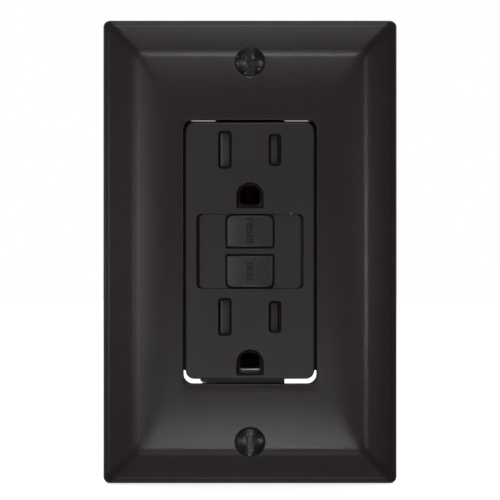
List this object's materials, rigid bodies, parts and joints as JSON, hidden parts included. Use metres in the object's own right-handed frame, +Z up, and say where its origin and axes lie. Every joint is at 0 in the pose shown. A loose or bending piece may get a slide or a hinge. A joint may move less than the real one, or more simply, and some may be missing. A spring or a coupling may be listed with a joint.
{
  "type": "duplex wall outlet",
  "caption": "Ground-fault duplex wall outlet: rectangular face with grounded outlets, reset and test buttons, shutters and a bevelled wall plate.",
  "frame": {"origin": "midway between the two box screws, on the plane of the wall surface", "axes": "+Y into the wall, along the box screws; +Z up; +X right as seen from the room"},
  "size_m": [0.075, 0.0364, 0.1182],
  "materials": {
    "plate_plastic": "fine moulded grain, satin",
    "face_plastic": "matte moulded thermoplastic",
    "button_plastic": "satin moulded thermoplastic",
    "housing_plastic": "moulded housing",
    "carrier_plastic": "moulded contact carrier",
    "shutter_plastic": "smooth acetal",
    "black_screw": "black painted steel",
    "zinc_steel": "zinc plated steel",
    "dark_strap": "zinc plated steel, stamped",
    "spring_steel": "bright spring steel",
    "contact_brass": "stamped brass",
    "screw_brass": "brass screws",
    "screw_silver": "nickel plated screws",
    "screw_green": "green earth screw",
    "board_laminate": "solder mask on laminate",
    "copper_winding": "enamelled copper wire",
    "bobbin_plastic": "natural nylon",
    "core_wrap": "wound and wrapped ring",
    "varistor_coat": "blue epoxy coat",
    "can_aluminium": "sleeved can",
    "chip_epoxy": "black epoxy",
    "resistor_coat": "tan coat",
    "clear_pipe": "clear acrylic",
    "fibre": "red vulcanised fibre"
  },
  "bodies": {
    "device": {"wall_plate": "plate_plastic", "plate_screws": "black_screw", "face_cover": "face_plastic", "mounting_strap": "dark_strap", "box_screws": "zinc_steel", "screw_retainers": "fibre", "contact_carrier": "carrier_plastic", "pressure_plates": "zinc_steel", "ground_screw": "screw_green", "ground_contacts": "contact_brass", "upper_shutter_tray": "bobbin_plastic", "lower_shutter_tray": "bobbin_plastic", "upper_shutter_spring": "spring_steel", "lower_shutter_spring": "spring_steel", "hot_contact_strip": "contact_brass", "neutral_contact_strip": "contact_brass", "hot_line_terminal": "contact_brass", "neutral_line_terminal": "contact_brass", "hot_line_post": "contact_brass", "neutral_line_post": "contact_brass", "hot_terminal_screws": "screw_brass", "neutral_terminal_screws": "screw_silver", "reset_spring": "spring_steel", "test_spring": "spring_steel", "carriage_spring": "spring_steel", "solenoid_bobbin": "bobbin_plastic", "solenoid_winding": "copper_winding", "solenoid_frame": "zinc_steel", "circuit_board": "board_laminate", "front_sensing_core": "core_wrap", "rear_sensing_core": "core_wrap", "varistor": "varistor_coat", "capacitor": "can_aluminium", "control_chip": "chip_epoxy", "thyristor": "chip_epoxy", "diodes": "chip_epoxy", "resistors": "resistor_coat", "signal_lamp": "clear_pipe", "light_pipe": "clear_pipe", "back_cover": "housing_plastic", "housing_screws": "zinc_steel"},
    "reset": {"reset_button": "button_plastic", "reset_pin": "zinc_steel"},
    "test": {"test_button": "button_plastic"},
    "upper_shutter_slide": {"upper_shutter": "shutter_plastic"},
    "lower_shutter_slide": {"lower_shutter": "shutter_plastic"},
    "trip_plunger": {"plunger": "zinc_steel"},
    "carriage": {"contact_carriage": "bobbin_plastic", "bridge_contacts": "contact_brass", "latch_spring": "spring_steel"},
    "latch": {"latch_plate": "zinc_steel"}
  },
  "joints": [
    {"name": "reset_press", "type": "slide", "parent": "device", "child": "reset", "axis": [0, 1, 0], "range_m": [0, 0.002], "stiffness_N_per_m": 500, "springref_m": -0.002, "deforming": ["reset_spring"]},
    {"name": "test_press", "type": "slide", "parent": "device", "child": "test", "axis": [0, 1, 0], "range_m": [0, 0.0015], "stiffness_N_per_m": 500, "springref_m": -0.001, "deforming": ["test_spring"]},
    {"name": "upper_shutter_open", "type": "slide", "parent": "device", "child": "upper_shutter_slide", "axis": [-1, 0, 0], "range_m": [0, 0.0022], "stiffness_N_per_m": 150, "springref_m": -0.002, "deforming": ["upper_shutter_spring"]},
    {"name": "lower_shutter_open", "type": "slide", "parent": "device", "child": "lower_shutter_slide", "axis": [-1, 0, 0], "range_m": [0, 0.0022], "stiffness_N_per_m": 150, "springref_m": -0.002, "deforming": ["lower_shutter_spring"]},
    {"name": "plunger_strike", "type": "slide", "parent": "device", "child": "trip_plunger", "axis": [0, 0, -1], "range_m": [0, 0.002], "stiffness_N_per_m": 120, "springref_m": -0.002},
    {"name": "carriage_drop", "type": "slide", "parent": "device", "child": "carriage", "axis": [0, 1, 0], "range_m": [0, 0.0016], "stiffness_N_per_m": 120, "springref_m": -0.002, "deforming": ["carriage_spring"]},
    {"name": "latch_release", "type": "slide", "parent": "carriage", "child": "latch", "axis": [0, 0, -1], "range_m": [0, 0.002], "stiffness_N_per_m": 120, "springref_m": -0.002, "deforming": ["latch_spring"]}
  ],
  "couplings": [
    {"joint": "carriage_drop", "follows": "plunger_strike", "ratio": 0.8},
    {"joint": "latch_release", "follows": "plunger_strike", "ratio": 1}
  ]
}
